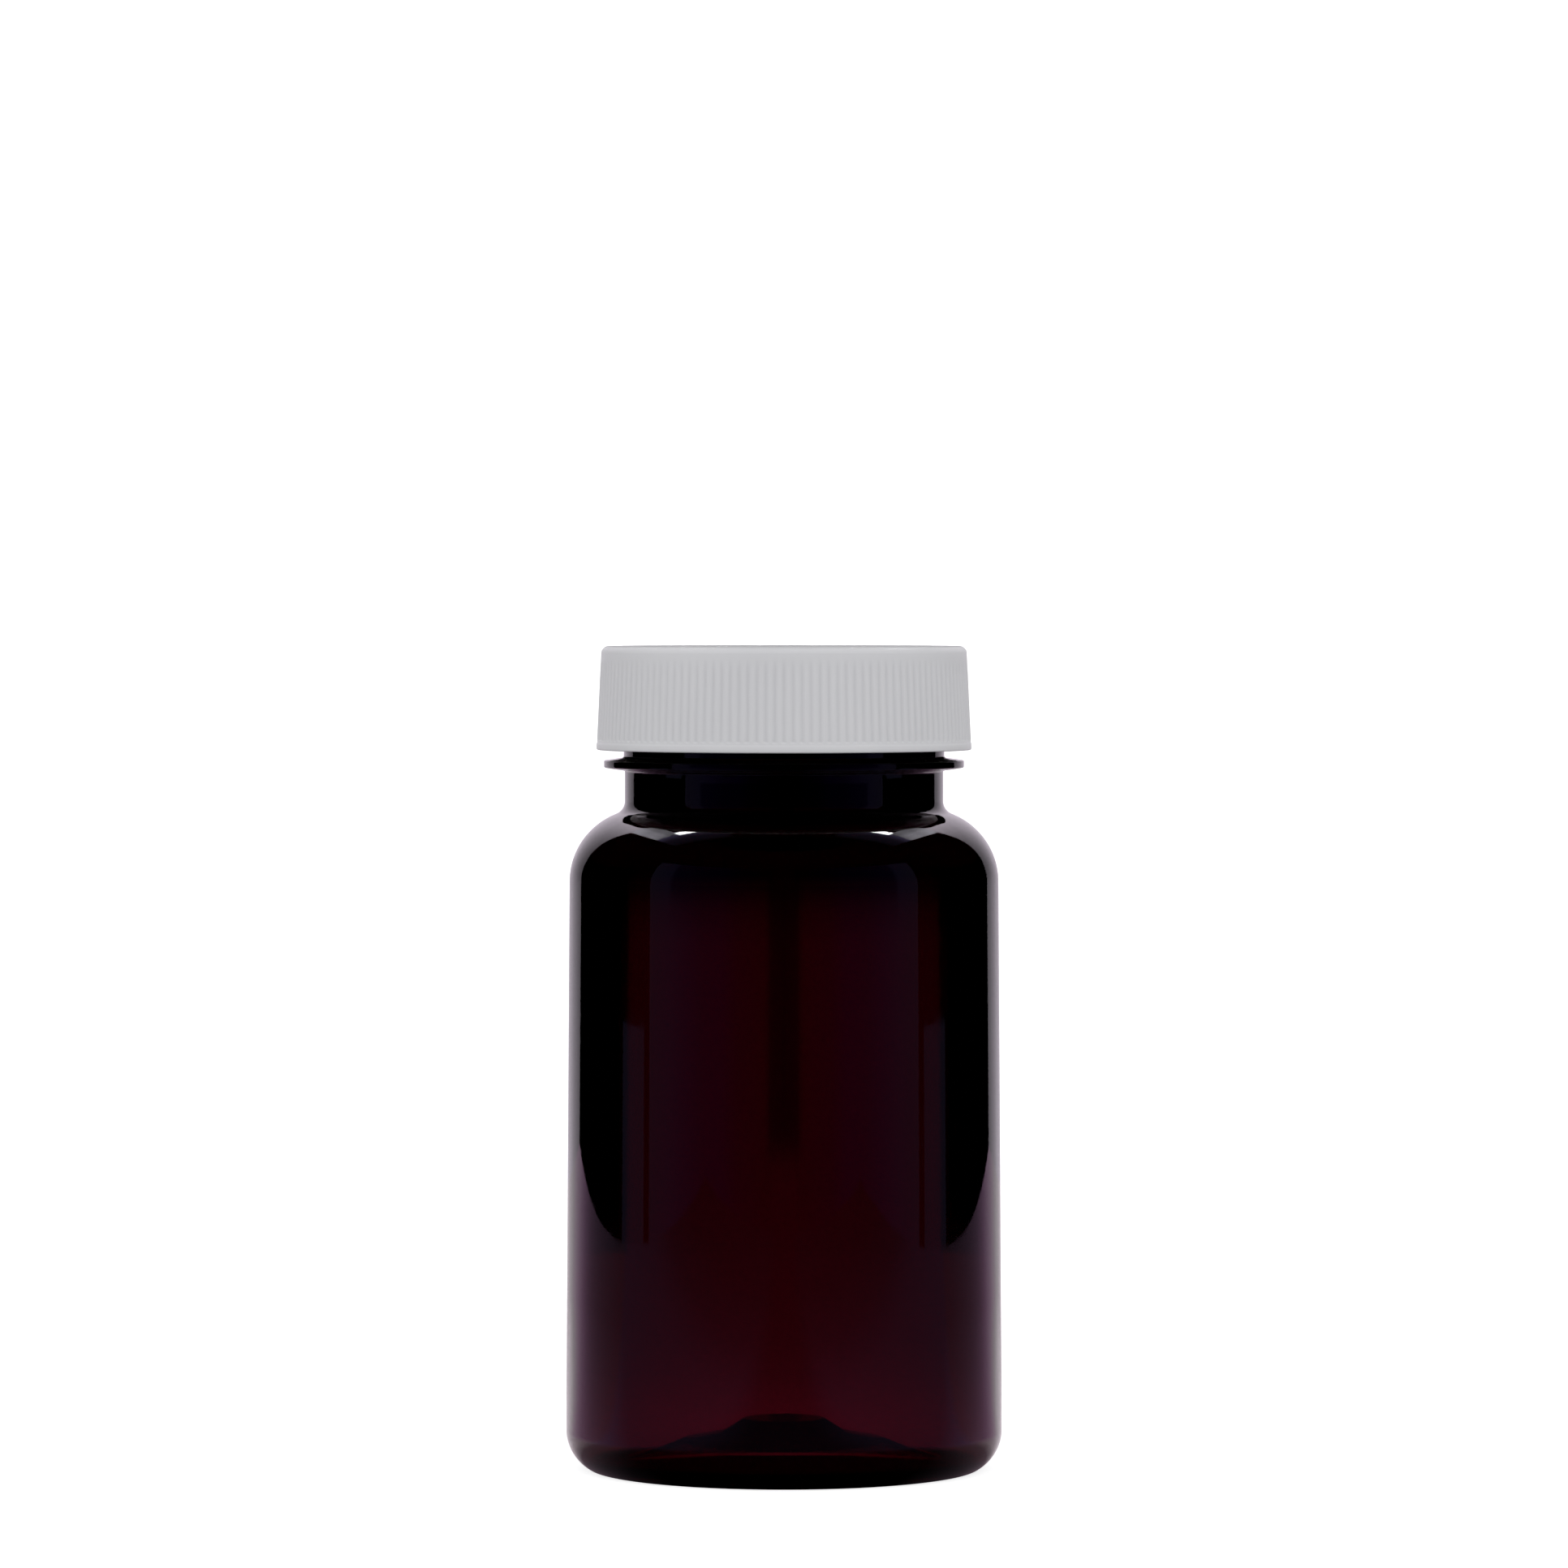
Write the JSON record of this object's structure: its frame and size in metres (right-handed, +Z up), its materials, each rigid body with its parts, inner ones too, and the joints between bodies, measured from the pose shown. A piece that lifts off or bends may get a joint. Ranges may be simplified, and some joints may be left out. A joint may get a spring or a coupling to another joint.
{
  "type": "screw-capped packer bottle",
  "caption": "Round dark amber plastic packer bottle with a short neck, support ledge, threaded finish and a finely ribbed white screw cap with a liner.",
  "frame": {"origin": "centre of the ring that the bottle stands on", "axes": "+Z up along the bottle's axis, from the base to the cap"},
  "size_m": [0.0468, 0.0468, 0.0881],
  "materials": {
    "pet_amber": "gloss",
    "pp_white": "satin",
    "pulp_board": "matte",
    "foil": "satin"
  },
  "bodies": {
    "bottle": {"bottle_body": "pet_amber"},
    "liner": {"liner_board": "pulp_board", "liner_foil": "foil"},
    "cap": {"cap_shell": "pp_white"}
  },
  "joints": [
    {"name": "cap_lift", "type": "slide", "parent": "bottle", "child": "liner", "axis": [0, 0, 1], "range_m": [0, 0.01694]},
    {"name": "cap_turn", "type": "hinge", "parent": "liner", "child": "cap", "pos_m": [0, 0, 0.0825], "axis": [0, 0, 1], "range_deg": [0, 1440]}
  ],
  "couplings": [
    {"joint": "cap_lift", "follows": "cap_turn", "m_per_rad": 0.00067376}
  ]
}
